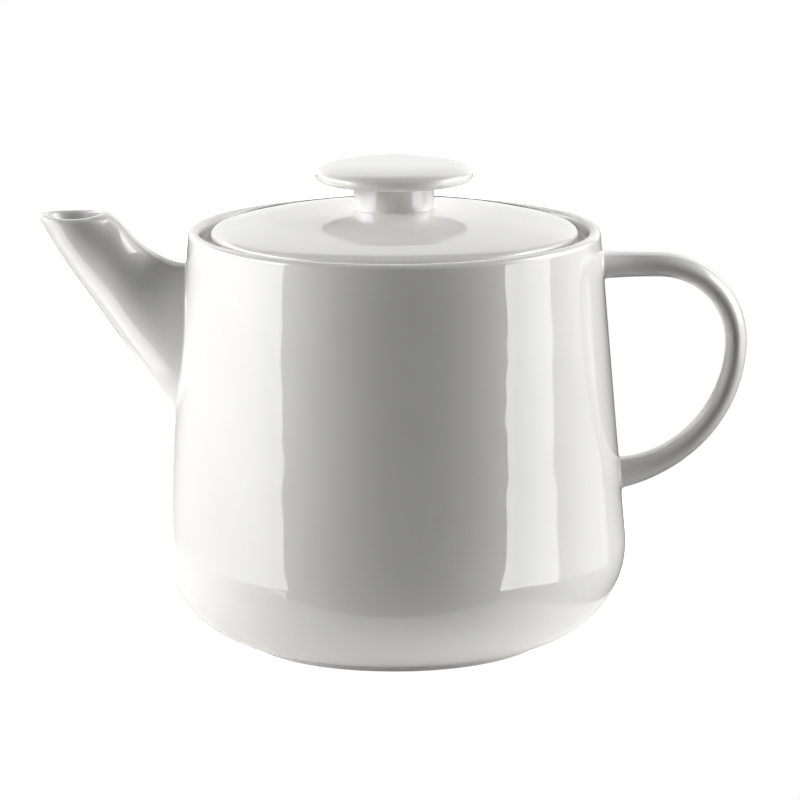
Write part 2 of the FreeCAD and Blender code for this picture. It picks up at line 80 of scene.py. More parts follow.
def arc(cr: float, cz: float, radius: float, start: float, end: float, steps: int) -> list[Point]:
    """Points on an arc of a turned outline.

    Args:
        cr: Radius of the arc's centre from the axis, in millimetres.
        cz: Height of the arc's centre, in millimetres.
        radius: Radius of the arc, in millimetres.
        start: First angle in degrees, from +R towards +Z.
        end: Last angle in degrees.
        steps: Number of runs along the arc.

    Returns:
        Pairs of radius and height in millimetres.
    """
    angles = np.radians(np.linspace(start, end, steps + 1))
    return [(cr + radius * math.cos(a), cz + radius * math.sin(a)) for a in angles]


def run(first: Point, last: Point, steps: int) -> list[Point]:
    """Points on a straight run of an outline, both ends included.

    Args:
        first: Radius and height of the first end.
        last: Radius and height of the last end.
        steps: Number of equal lengths.

    Returns:
        Pairs of radius and height.
    """
    shares = np.linspace(0.0, 1.0, steps + 1)
    return [(first[0] + (last[0] - first[0]) * s, first[1] + (last[1] - first[1]) * s) for s in shares]


def bend(first: np.ndarray, corner: np.ndarray, last: np.ndarray, steps: int) -> list[np.ndarray]:
    """Points on a soft bend that leaves one point towards a corner and arrives at another point from it.

    Args:
        first: Where the bend starts, one point or a row of points.
        corner: Where the two straight runs would meet.
        last: Where the bend ends.
        steps: Number of runs along the bend.

    Returns:
        The points, both ends included.
    """
    first, corner, last = np.asarray(first), np.asarray(corner), np.asarray(last)
    shares = np.linspace(0.0, 1.0, steps + 1)
    return [first * (1 - s) ** 2 + corner * 2 * s * (1 - s) + last * s**2 for s in shares]


def rounded(corners: list[tuple[float, float, float]], steps: int = 5) -> list[Point]:
    """Rounds the corners of an outline.

    Args:
        corners: Radius, height and corner round of each corner, in millimetres.
        steps: Number of runs in each round.

    Returns:
        Pairs of radius and height.
    """
    points: list[Point] = []
    for k, (r, z, size) in enumerate(corners):
        here = np.array((r, z))
        if size <= 0.0 or k in (0, len(corners) - 1):
            points.append((r, z))
            continue
        back = np.array(corners[k - 1][:2]) - here
        ahead = np.array(corners[k + 1][:2]) - here
        back /= np.linalg.norm(back)
        ahead /= np.linalg.norm(ahead)
        half = math.acos(float(np.clip(back @ ahead, -1.0, 1.0))) / 2.0
        away = size / math.tan(half)
        points += [tuple(point) for point in bend(here + back * away, here, here + ahead * away, steps)]
    return points


def joined(*runs: list[Point]) -> list[Point]:
    """Joins runs of an outline and leaves out points that repeat.

    Args:
        runs: The runs, in order.

    Returns:
        The whole outline.
    """
    points: list[Point] = []
    for one in runs:
        for point in one:
            if not points or math.dist(points[-1], point) > SAME_POINT:
                points.append(point)
    return points


def smooth_values(knots: np.ndarray, values: np.ndarray, at: np.ndarray) -> np.ndarray:
    """Natural cubic spline through values.

    Args:
        knots: Rising places of the values.
        values: One value, or one row of values, for each knot.
        at: Places to read.

    Returns:
        The spline's values at those places.
    """
    count = len(knots)
    gaps = np.diff(knots)
    table = np.zeros((count, count))
    right = np.zeros_like(values, dtype=float)
    table[0, 0] = table[-1, -1] = 1.0
    for k in range(1, count - 1):
        table[k, k - 1 : k + 2] = gaps[k - 1], 2 * (gaps[k - 1] + gaps[k]), gaps[k]
        right[k] = 3 * ((values[k + 1] - values[k]) / gaps[k] - (values[k] - values[k - 1]) / gaps[k - 1])
    curve = np.linalg.solve(table, right)
    place = np.clip(np.searchsorted(knots, at) - 1, 0, count - 2)
    step = at - knots[place]
    if values.ndim > 1:
        step = step.reshape(-1, *([1] * (values.ndim - 1)))
    gap = gaps[place].reshape(step.shape)
    slope = (values[place + 1] - values[place]) / gap - gap * (2 * curve[place] + curve[place + 1]) / 3
    twist = (curve[place + 1] - curve[place]) / (3 * gap)
    return values[place] + slope * step + curve[place] * step**2 + twist * step**3


def plain_object(name: str, mesh: Mesh) -> bpy.types.Object:
    """Links a mesh into the scene as a new object at the origin.

    Args:
        name: Name of the object.
        mesh: Its mesh.

    Returns:
        The object.
    """
    piece = bpy.data.objects.new(name, mesh)
    bpy.context.scene.collection.objects.link(piece)
    return piece


def ring_mesh(name: str, rings: np.ndarray) -> Mesh:
    """Makes a closed skin from rows of points that each go round once, the last row joining the first.

    Args:
        name: Name of the mesh.
        rings: Array of rings by points by XYZ, in metres.

    Returns:
        The mesh, with its faces pointing outwards.
    """
    count, around = rings.shape[:2]
    faces = []
    for k in range(count):
        for j in range(around):
            here, ahead = k * around, (k + 1) % count * around
            beside = (j + 1) % around
            faces.append((here + j, here + beside, ahead + beside, ahead + j))
    mesh = bpy.data.meshes.new(name)
    mesh.from_pydata(rings.reshape(-1, 3).tolist(), [], faces)
    return outward(mesh)


def outward(mesh: Mesh) -> Mesh:
    """Merges doubles, turns all faces outwards and shades the mesh smooth with crisp edges kept.

    Args:
        mesh: The mesh, which is changed.

    Returns:
        The same mesh.
    """
    work = bmesh.new()
    work.from_mesh(mesh)
    bmesh.ops.remove_doubles(work, verts=work.verts, dist=DOUBLE_DISTANCE)
    bmesh.ops.dissolve_degenerate(work, edges=work.edges, dist=SLIVER_LENGTH)
    bmesh.ops.recalc_face_normals(work, faces=work.faces)
    work.to_mesh(mesh)
    work.free()
    mesh.shade_smooth()
    mesh.set_sharp_from_angle(angle=math.radians(CRISP_ANGLE))
    return mesh


# work with nodes


class NodeWork:
    """Short ways to add, set and link the nodes of a tree."""

    def __init__(self, tree: bpy.types.NodeTree) -> None:
        """Keeps the tree."""
        self.tree = tree

    def node(self, kind: str, **settings: object) -> bpy.types.Node:
        """Adds a node and sets its properties.

        Args:
            kind: Type of the node.
            settings: Properties of the node.

        Returns:
            The node.
        """
        made = self.tree.nodes.new(kind)
        for key, value in settings.items():
            setattr(made, key, value)
        return made

    def link(self, start: Socket, end: Socket) -> None:
        """Links two sockets."""
        self.tree.links.new(start, end)

    def feed(self, node: bpy.types.Node, **inputs: object) -> None:
        """Gives a node's inputs a socket to follow or a value.

        Args:
            node: The node.
            inputs: Socket or value of each named input, with _ for a space.
        """
        for key, item in inputs.items():
            target = node.inputs[key.replace("_", " ")]
            if isinstance(item, Socket):
                self.link(item, target)
            else:
                target.default_value = item

    def maths(self, operation: str, first: object, second: object = None) -> Socket:
        """Adds one step of arithmetic.

        Args:
            operation: Name of the operation.
            first: Socket or number.
            second: Socket or number, where the operation takes two.

        Returns:
            The socket with the result.
        """
        step = self.node("ShaderNodeMath", operation=operation)
        for index, item in enumerate((first, second)):
            if item is None:
                continue
            if isinstance(item, (int, float)):
                step.inputs[index].default_value = item
            else:
                self.link(item, step.inputs[index])
        return step.outputs["Value"]


# finishes


@dataclass(frozen=True)
class Glaze:
    """Clear gloss glaze over white porcelain, with an unglazed foot where asked for.

    Ripple and grain are depths in millimetres, bare_below and bare_blend are in metres, scales are per metre.
    """

    name: str
    colour: Colour
    pooled: Colour
    roughness: float = 0.02
    refraction: float = 1.58
    ripple: float = 0.15
    ripple_scale: float = 62.0
    grain: float = 0.002
    grain_scale: float = 420.0
    relief_detail: float = 1.0
    cloud_scale: float = 38.0
    cloud_detail: float = 3.0
    cloud_range: tuple[float, float] = (0.42, 0.78)
    sheen_range: tuple[float, float] = (0.7, 1.4)
    speck_scale: float = 62.0
    speck_size: float = 0.028
    speck_rarity: float = 0.93
    speck_strength: float = 0.35
    speck_colour: Colour = (0.20, 0.15, 0.11)
    bare_below: float = 0.0
    bare_blend: tuple[float, float] = (0.0003, 0.0001)
    bare_colour: Colour = (0.70, 0.665, 0.61)
    bare_roughness: float = 0.72

    def build(self) -> Material:
        """Makes the material.

        Returns:
            The material, which reads Object coordinates only.
        """
        material = bpy.data.materials.new(self.name)
        material.use_nodes = True
        work = NodeWork(material.node_tree)
        shader = material.node_tree.nodes["Principled BSDF"]
        place = work.node("ShaderNodeTexCoord").outputs["Object"]
        cloud = work.node("ShaderNodeTexNoise")
        work.feed(cloud, Vector=place, Scale=self.cloud_scale, Detail=self.cloud_detail)
        bare = self.bare_foot(work, place)
        colour = self.colours(work, place, cloud.outputs["Fac"], bare)
        sheen = self.sheen(work, cloud.outputs["Fac"], bare)
        relief = self.relief(work, place)
        work.feed(shader, IOR=self.refraction, Base_Color=colour, Roughness=sheen, Normal=relief)
        return material

    def bare_foot(self, work: NodeWork, place: Socket) -> Socket:
        """Finds where the foot is left unglazed.

        Args:
            work: The material's nodes.
            place: Object coordinates.

        Returns:
            One on bare porcelain and zero on glaze.
        """
        height = work.node("ShaderNodeSeparateXYZ")
        work.feed(height, Vector=place)
        bare = work.node("ShaderNodeMapRange")
        work.feed(bare, Value=height.outputs["Z"], From_Min=self.bare_below + self.bare_blend[0],
                  From_Max=self.bare_below - self.bare_blend[1])
        return bare.outputs["Result"]

    def colours(self, work: NodeWork, place: Socket, cloud: Socket,
                bare: Socket) -> Socket:
        """Mixes the glaze's colour from thin and pooled glaze, a few specks and the bare foot.

        Args:
            work: The material's nodes.
            place: Object coordinates.
            cloud: Slow noise.
            bare: Where the foot is unglazed.

        Returns:
            The colour.
        """
        thin = work.node("ShaderNodeMapRange")
        work.feed(thin, Value=cloud, From_Min=self.cloud_range[0], From_Max=self.cloud_range[1])
        tint = work.node("ShaderNodeMix", data_type="RGBA")
        work.feed(tint, Factor=thin.outputs["Result"], A=(*self.colour, 1.0), B=(*self.pooled, 1.0))
        specks = work.node("ShaderNodeTexVoronoi")
        work.feed(specks, Vector=place, Scale=self.speck_scale)
        chance = work.node("ShaderNodeSeparateColor")
        work.feed(chance, Color=specks.outputs["Color"])
        near = work.maths("LESS_THAN", specks.outputs["Distance"], self.speck_size)
        rare = work.maths("GREATER_THAN", chance.outputs["Red"], self.speck_rarity)
        faint = work.maths("MULTIPLY", work.maths("MULTIPLY", near, rare), self.speck_strength)
        spotted = work.node("ShaderNodeMix", data_type="RGBA")
        work.feed(spotted, Factor=faint, A=tint.outputs["Result"], B=(*self.speck_colour, 1.0))
        biscuit = work.node("ShaderNodeMix", data_type="RGBA")
        work.feed(biscuit, Factor=bare, A=spotted.outputs["Result"], B=(*self.bare_colour, 1.0))
        return biscuit.outputs["Result"]

    def sheen(self, work: NodeWork, cloud: Socket, bare: Socket) -> Socket:
        """Sets the roughness of glaze and bare foot.

        Args:
            work: The material's nodes.
            cloud: Slow noise.
            bare: Where the foot is unglazed.

        Returns:
            The roughness.
        """
        gloss = work.node("ShaderNodeMapRange")
        work.feed(gloss, Value=cloud, To_Min=self.roughness * self.sheen_range[0],
                  To_Max=self.roughness * self.sheen_range[1])
        matt = work.node("ShaderNodeMix")
        work.feed(matt, Factor=bare, A=gloss.outputs["Result"], B=self.bare_roughness)
        return matt.outputs["Result"]

    def relief(self, work: NodeWork, place: Socket) -> Socket:
        """Adds the slow ripple and the fine grain of the glaze.

        Args:
            work: The material's nodes.
            place: Object coordinates.

        Returns:
            The changed normal.
        """
        wave = work.node("ShaderNodeTexNoise")
        work.feed(wave, Vector=place, Scale=self.ripple_scale, Detail=self.relief_detail)
        peel = work.node("ShaderNodeTexNoise")
        work.feed(peel, Vector=place, Scale=self.grain_scale, Detail=self.relief_detail)
        slow = work.node("ShaderNodeBump")
        work.feed(slow, Strength=1.0, Distance=self.ripple * MM, Height=wave.outputs["Fac"])
        fine = work.node("ShaderNodeBump")
        work.feed(fine, Strength=1.0, Distance=self.grain * MM, Height=peel.outputs["Fac"],
                  Normal=slow.outputs["Normal"])
        return fine.outputs["Normal"]


@dataclass(frozen=True)
class TableTop:
    """Matt pale table top, which shows nearly white to the camera and keeps the pot's shadow."""

    name: str = "pale_table"
    colour: Colour = (0.86, 0.86, 0.855)
    roughness: float = 0.9
    shine: float = 0.1
    glow: float = 0.13
    glow_to_camera: float = 0.85

    def build(self) -> Material:
        """Makes the material.

        Returns:
            The material.
        """
        material = bpy.data.materials.new(self.name)
        material.use_nodes = True
        work = NodeWork(material.node_tree)
        path = work.node("ShaderNodeLightPath")
        glow = work.node("ShaderNodeMapRange")
        work.feed(glow, Value=path.outputs["Is Camera Ray"], To_Min=self.glow, To_Max=self.glow_to_camera)
        shader = material.node_tree.nodes["Principled BSDF"]
        work.feed(shader, Base_Color=(*self.colour, 1.0), Roughness=self.roughness,
                  Specular_IOR_Level=self.shine, Emission_Color=(1.0, 1.0, 1.0, 1.0),
                  Emission_Strength=glow.outputs["Result"])
        return material


@dataclass(frozen=True)
class PanelCloth:
    """Glowing cloth of a soft panel, which reads the panel's own brightness."""

    name: str
    brightness: str = "glow"

    def build(self) -> Material:
        """Makes the material.

        Returns:
            The material.
        """
        material = bpy.data.materials.new(self.name)
        material.use_nodes = True
        work = NodeWork(material.node_tree)
        work.tree.nodes.clear()
        read = work.node("ShaderNodeAttribute", attribute_name=self.brightness)
        light = work.node("ShaderNodeEmission")
        work.feed(light, Strength=read.outputs["Fac"])
        work.feed(work.node("ShaderNodeOutputMaterial"), Surface=light.outputs["Emission"])
        return material


GLOSS_GLAZE = Glaze("gloss_glaze", (0.81, 0.805, 0.79), (0.785, 0.78, 0.76))
POT_GLAZE = replace(GLOSS_GLAZE, name="pot_glaze", bare_below=0.0003)
SLIP_GLAZE = Glaze("slip_glaze", (0.79, 0.785, 0.77), (0.765, 0.76, 0.74), roughness=0.04)


# rules for turned and drawn pieces


class NodeTree(NodeWork):
    """Base of the rules that are built from geometry nodes."""

    title = "rule"

    def __init__(self) -> None:
        """Starts an empty tree with a geometry in and a geometry out."""
        super().__init__(bpy.data.node_groups.new(self.title, "GeometryNodeTree"))
        self.tree.interface.new_socket("Geometry", in_out="INPUT", socket_type="NodeSocketGeometry")
        self.tree.interface.new_socket("Geometry", in_out="OUTPUT", socket_type="NodeSocketGeometry")
        self.source = self.node("NodeGroupInput")
        self.result = self.node("NodeGroupOutput")

    def size(self, name: str, kind: str = "NodeSocketFloat") -> None:
        """Adds a named input."""
        self.tree.interface.new_socket(name, in_out="INPUT", socket_type=kind)

    def sheet(self, line: Socket) -> tuple[bpy.types.Node, Socket, Socket]:
        """Makes a flat sheet with a row for each point of a line and a column for each step around.

        Args:
            line: The line.

        Returns:
            The sheet's node, the angle round the piece and the row of each of its points.
        """
        count = self.node("GeometryNodeAttributeDomainSize", component="MESH")
        self.feed(count, Geometry=line)
        sheet = self.node("GeometryNodeMeshGrid")
        self.feed(sheet, Vertices_X=self.maths("ADD", self.source.outputs["Steps Around"], 1),
                  Vertices_Y=count.outputs["Point Count"])
        split = self.node("ShaderNodeSeparateXYZ")
        self.feed(split, Vector=self.node("GeometryNodeInputPosition").outputs["Position"])
        turn = self.maths("MULTIPLY", self.maths("ADD", split.outputs["X"], 0.5), 2 * math.pi)
        last = self.maths("SUBTRACT", count.outputs["Point Count"], 1)
        row = self.maths("ROUND", self.maths("MULTIPLY", self.maths("ADD", split.outputs["Y"], 0.5), last))
        return sheet, turn, row

    def read(self, line: Socket, value: Socket,
             row: Socket) -> Socket:
        """Reads a value at the line's point of a row.

        Args:
            line: The line.
            value: Value of its points.
            row: Number of the point.

        Returns:
            The value.
        """
        sample = self.node("GeometryNodeSampleIndex", data_type="FLOAT_VECTOR", domain="POINT")
        self.feed(sample, Geometry=line, Value=value, Index=row)
        return sample.outputs["Value"]

    def bent(self, sheet: bpy.types.Node, place: Socket) -> Socket:
        """Bends the sheet to its piece and closes its seam and poles.

        Args:
            sheet: The flat sheet.
            place: New place of its points.

        Returns:
            The piece's skin.
        """
        moved = self.node("GeometryNodeSetPosition")
        self.feed(moved, Geometry=sheet.outputs["Mesh"], Position=place)
        merged = self.node("GeometryNodeMergeByDistance")
        self.feed(merged, Geometry=moved.outputs["Geometry"], Distance=SEAM_DISTANCE)
        return merged.outputs["Geometry"]

    def end(self, geometry: Socket) -> None:
        """Realizes instances, sets the finish and closes the tree.

        Args:
            geometry: The finished shape.
        """
        real = self.node("GeometryNodeRealizeInstances")
        self.feed(real, Geometry=geometry)
        finish = self.node("GeometryNodeSetMaterial")
        self.feed(finish, Geometry=real.outputs["Geometry"], Material=self.source.outputs["Finish"])
        self.feed(self.result, Geometry=finish.outputs["Geometry"])

    def apply(self, mesh: Mesh, name: str, **sizes: object) -> Mesh:
        """Runs the rule on a mesh.

        Args:
            mesh: What the rule starts from.
            name: Name of the new mesh.
            sizes: Values of the named inputs, with _ for a space.

        Returns:
            A plain mesh with the rule's result.
        """
        carrier = plain_object(f"{name}_rule", mesh)
        modifier = carrier.modifiers.new(self.title, "NODES")
        modifier.node_group = self.tree
        for item in self.tree.interface.items_tree:
            key = item.name.replace(" ", "_")
            if item.in_out == "INPUT" and key in sizes:
                modifier[item.identifier] = sizes[key]
        carrier.update_tag()
        graph = bpy.context.evaluated_depsgraph_get()
        made = bpy.data.meshes.new_from_object(carrier.evaluated_get(graph), depsgraph=graph)
        made.name = name
        carrier.modifiers.remove(modifier)
        bpy.data.objects.remove(carrier)
        return made


class TurnedRule(NodeTree):
    """Turns an outline about the Z axis, with the slight unevenness of a cast and glazed wall."""

    title = "turned_piece"
    waves_per_metre = 22.0

    def __init__(self) -> None:
        """Builds the tree."""
        super().__init__()
        self.size("Steps Around", "NodeSocketInt")
        self.size("Unevenness")
        self.size("Finish", "NodeSocketMaterial")
        outline = self.source.outputs["Geometry"]
        sheet, turn, row = self.sheet(outline)
        place = self.node("GeometryNodeInputPosition").outputs["Position"]
        point = self.node("ShaderNodeSeparateXYZ")
        self.feed(point, Vector=self.read(outline, place, row))
        put = self.node("ShaderNodeCombineXYZ")
        self.feed(put, X=self.maths("MULTIPLY", point.outputs["X"], self.maths("COSINE", turn)),
                  Y=self.maths("MULTIPLY", point.outputs["X"], self.maths("SINE", turn)),
                  Z=point.outputs["Z"])
        turned = self.bent(sheet, put.outputs["Vector"])
        noise = self.node("ShaderNodeTexNoise")
        self.feed(noise, Vector=place, Scale=self.waves_per_metre, Detail=0.0)
        swing = self.maths("SUBTRACT", noise.outputs["Fac"], 0.5)
        lift = self.maths("MULTIPLY", swing, self.source.outputs["Unevenness"])
        offset = self.node("ShaderNodeVectorMath", operation="SCALE")
        self.feed(offset, Vector=self.node("GeometryNodeInputNormal").outputs["Normal"], Scale=lift)
        uneven = self.node("GeometryNodeSetPosition")
        self.feed(uneven, Geometry=turned, Offset=offset.outputs["Vector"])
        self.end(uneven.outputs["Geometry"])


class LoopRule(NodeTree):
    """Sweeps an oval along a path whose points carry the oval's half depth and half width."""

    title = "oval_loop"

    def __init__(self) -> None:
        """Builds the tree."""
        super().__init__()
        self.size("Steps Around", "NodeSocketInt")
        self.size("Finish", "NodeSocketMaterial")
        path = self.source.outputs["Geometry"]
        sheet, turn, row = self.sheet(path)
        place = self.node("GeometryNodeInputPosition").outputs["Position"]
        depth = self.read(path, self.named("half_depth"), row)
        deep = self.node("ShaderNodeVectorMath", operation="SCALE")
        self.feed(deep, Vector=depth, Scale=self.maths("COSINE", turn))
        width = self.read(path, self.named("half_width"), row)
        wide = self.node("ShaderNodeVectorMath", operation="SCALE")
        self.feed(wide, Vector=width, Scale=self.maths("SINE", turn))
        oval = self.sum(deep.outputs["Vector"], wide.outputs["Vector"])
        self.end(self.bent(sheet, self.sum(oval, self.read(path, place, row))))

    def named(self, name: str) -> Socket:
        """Reads a named direction of the path's points.

        Args:
            name: Name of the attribute.

        Returns:
            The socket with the direction.
        """
        value = self.node("GeometryNodeInputNamedAttribute", data_type="FLOAT_VECTOR")
        self.feed(value, Name=name)
        return value.outputs["Attribute"]

    def sum(self, first: Socket, second: Socket) -> Socket:
        """Adds two vectors.

        Args:
            first: One vector.
            second: The other vector.

        Returns:
            The socket with the sum.
        """
        both = self.node("ShaderNodeVectorMath", operation="ADD")
        self.link(first, both.inputs[0])
        self.link(second, both.inputs[1])
        return both.outputs["Vector"]


class StrainerRule(NodeTree):
    """Pierces the wall behind the spout with one hole and a ring of holes."""

    title = "strainer"
    hole_steps = 32

    def __init__(self) -> None:
        """Builds the tree."""
        super().__init__()
        self.size("Hole Radius")
        self.size("Ring Radius")
        self.size("Ring Holes", "NodeSocketInt")
        self.size("Place", "NodeSocketVector")
        self.size("Depth")
        self.size("Finish", "NodeSocketMaterial")
        pin = self.node("GeometryNodeMeshCylinder")
        self.feed(pin, Vertices=self.hole_steps, Radius=self.source.outputs["Hole Radius"],
                  Depth=self.source.outputs["Depth"])
        ring = self.node("GeometryNodeMeshCircle")
        self.feed(ring, Vertices=self.source.outputs["Ring Holes"], Radius=self.source.outputs["Ring Radius"])
        middle = self.node("GeometryNodePoints")
        places = self.node("GeometryNodeJoinGeometry")
        self.link(ring.outputs["Mesh"], places.inputs["Geometry"])
        self.link(middle.outputs["Points"], places.inputs["Geometry"])
        pins = self.node("GeometryNodeInstanceOnPoints")
        self.feed(pins, Points=places.outputs["Geometry"], Instance=pin.outputs["Mesh"])
        turned = self.node("GeometryNodeTransform")
        self.feed(turned, Geometry=pins.outputs["Instances"], Rotation=(0.0, math.pi / 2, 0.0),
                  Translation=self.source.outputs["Place"])
        solid = self.node("GeometryNodeRealizeInstances")
        self.feed(solid, Geometry=turned.outputs["Geometry"])
        pierced = self.node("GeometryNodeMeshBoolean", operation="DIFFERENCE", solver="EXACT")
        self.feed(pierced, Mesh_1=self.source.outputs["Geometry"], Mesh_2=solid.outputs["Geometry"])
        self.end(pierced.outputs["Mesh"])


# pieces


@dataclass
class Piece:
    """One finished piece and what it stands for."""

    name: str
    body: Body
    slot: Slot
    mesh: Mesh
    finish: Material

    def place(self) -> bpy.types.Object:
        """Puts the piece into the scene on its body, in the place of its CAD node.

        Returns:
            The new object.
        """
        self.mesh.materials.clear()
        self.mesh.materials.append(self.finish)
        self.mesh.polygons.foreach_set("material_index", [0] * len(self.mesh.polygons))
        made = plain_object(f"{self.name}_shown", self.mesh)
        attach(made, self.body.value)
        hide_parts(self.name)
        log.info("%s: %d faces on %s", made.name, len(self.mesh.polygons), self.body.value)
        return made


def outline_mesh(name: str, points: list[Point]) -> Mesh:
    """Makes the line that a turned piece starts from.

    Args:
        name: Name of the mesh.
        points: Pairs of radius and height in millimetres.

    Returns:
        The line's mesh, in metres.
    """
    mesh = bpy.data.meshes.new(name)
    edges = [(k, k + 1) for k in range(len(points) - 1)]
    mesh.from_pydata([(r * MM, 0.0, z * MM) for r, z in points], edges, [])
    return mesh


@dataclass
class Pot:
    """The turned pot: foot ring, heel, wall, lip, ledge and strainer. Sizes are in millimetres."""

    belly: float = 70.0
    heel: float = 28.2
    foot: float = 46.0
    foot_inside: float = 41.0
    foot_height: float = 1.5
    foot_recess: float = 1.8
    rim: float = 62.0
    rim_height: float = 125.4
    lip: float = 1.85
    wall: float = 4.0
    ledge_height: float = 121.3
    ledge_under: float = 117.3
    flare_height: float = 109.3
    mouth: float = 50.0
    edge: float = 0.6
    recess_edge: float = 0.5
    flare_edge: float = 3.0
    unevenness: float = 0.12
    strainer_height: float = 93.0
    hole: float = 2.6
    hole_depth: float = 12.0
    hole_ring: float = 8.5
    holes: int = 6
    steps: int = 224
    wall_steps: int = 44
    lip_steps: int = 18
    inside_steps: int = 30
    bowl_steps: int = 24
    floor_steps: int = 10
    lean: float = field(init=False)
    heel_r: float = field(init=False)
    heel_z: float = field(init=False)

    def __post_init__(self) -> None:
        """Works out the heel's centre and the wall's lean."""
        self.heel_r = self.belly - self.heel
        self.heel_z = self.foot_height + math.sqrt(self.heel**2 - (self.foot - self.heel_r) ** 2)
        across = self.rim - self.heel_r
        up = self.rim_height - self.lip - self.heel_z
        self.lean = math.atan2(up, across) - math.acos(self.heel / math.hypot(across, up))

    def heel_point(self, radius: float) -> Point:
        """Where an arc about the heel's centre meets the straight wall.

        Args:
            radius: Radius of the arc.

        Returns:
            Radius and height of the point.
        """
        return self.heel_r + radius * math.cos(self.lean), self.heel_z + radius * math.sin(self.lean)

    def wall_radius(self, z: float) -> float:
        """Outside radius of the straight wall.

        Args:
            z: Height on the wall.

        Returns:
            The radius.
        """
        foot_r, foot_z = self.heel_point(self.heel)
        return foot_r - (z - foot_z) * math.tan(self.lean)

    def above_skin(self, points: np.ndarray) -> np.ndarray:
        """Distance of points outside the straight wall.

        Args:
            points: XYZ of the points.

        Returns:
            Distance of each point.
        """
        radius = np.hypot(points[..., 0], points[..., 1])
        foot_r, foot_z = self.heel_point(self.heel)
        return (radius - foot_r + (points[..., 2] - foot_z) * math.tan(self.lean)) * math.cos(self.lean)

    def skin_normal(self, points: np.ndarray) -> np.ndarray:
        """Outward direction of the straight wall.

        Args:
            points: XYZ of points on the wall.

        Returns:
            A direction for each point.
        """
        flat = points[..., :2] / np.linalg.norm(points[..., :2], axis=-1, keepdims=True)
        up = np.full(flat.shape[:-1] + (1,), math.sin(self.lean))
        return np.concatenate((flat * math.cos(self.lean), up), axis=-1)

    def outline(self) -> list[Point]:
        """Draws the outline from the axis under the foot round to the axis on the floor.

        Returns:
            Pairs of radius and height.
        """
        lean = math.degrees(self.lean)
        first = math.degrees(math.atan2(self.foot_height - self.heel_z, self.foot - self.heel_r))
        under = rounded([
            (0.0, self.foot_recess, 0.0),
            (self.foot_inside, self.foot_recess, self.recess_edge),
            (self.foot_inside, 0.0, self.edge),
            (self.foot, 0.0, self.edge),
            (self.foot, self.foot_height, 0.0),
        ])
        heel = arc(self.heel_r, self.heel_z, self.heel, first, lean, self.wall_steps)
        side = run(heel[-1], (self.rim, self.rim_height - self.lip), self.wall_steps)
        lip = arc(self.rim - self.lip, self.rim_height - self.lip, self.lip, 0.0, 180.0, self.lip_steps)
        inside = self.rim - 2 * self.lip
        inner_heel = self.heel - self.wall
        inner_foot = self.heel_point(inner_heel)
        flare_r = inner_foot[0] - (self.flare_height - inner_foot[1]) * math.tan(self.lean)
        ledge = rounded([
            (inside, self.rim_height - self.lip, 0.0),
            (inside, self.ledge_height, self.edge),
            (self.mouth, self.ledge_height, self.edge),
            (self.mouth, self.ledge_under, self.edge),
            (flare_r, self.flare_height, self.flare_edge),
            (*inner_foot, 0.0),
        ])
        ledge = ledge[:-1] + run(ledge[-2], inner_foot, self.inside_steps)
        bowl = arc(self.heel_r, self.heel_z, inner_heel, lean, -90.0, self.bowl_steps)
        floor = run(bowl[-1], (0.0, bowl[-1][1]), self.floor_steps)
        return joined(under, heel, side, lip, ledge, bowl, floor)

    def build(self, turned: TurnedRule, strainer: StrainerRule, finish: Material) -> Piece:
        """Turns the pot and pierces the strainer.

        Args:
            turned: Rule for turned pieces.
            strainer: Rule for the holes.
            finish: The glaze.

        Returns:
            The piece.
        """
        shell = turned.apply(outline_mesh("pot_outline", self.outline()), "pot_wall",
                             Steps_Around=self.steps, Unevenness=self.unevenness * MM, Finish=finish)
        outward(shell)
        middle = self.wall_radius(self.strainer_height) - self.wall / 2
        pierced = strainer.apply(shell, "pot_body", Hole_Radius=self.hole * MM, Depth=self.hole_depth * MM,
                                 Ring_Radius=self.hole_ring * MM, Ring_Holes=self.holes,
                                 Place=(-middle * MM, 0.0, self.strainer_height * MM), Finish=finish)
        return Piece("pot_body", Body.POT, Slot.GLAZE, outward(pierced), finish)


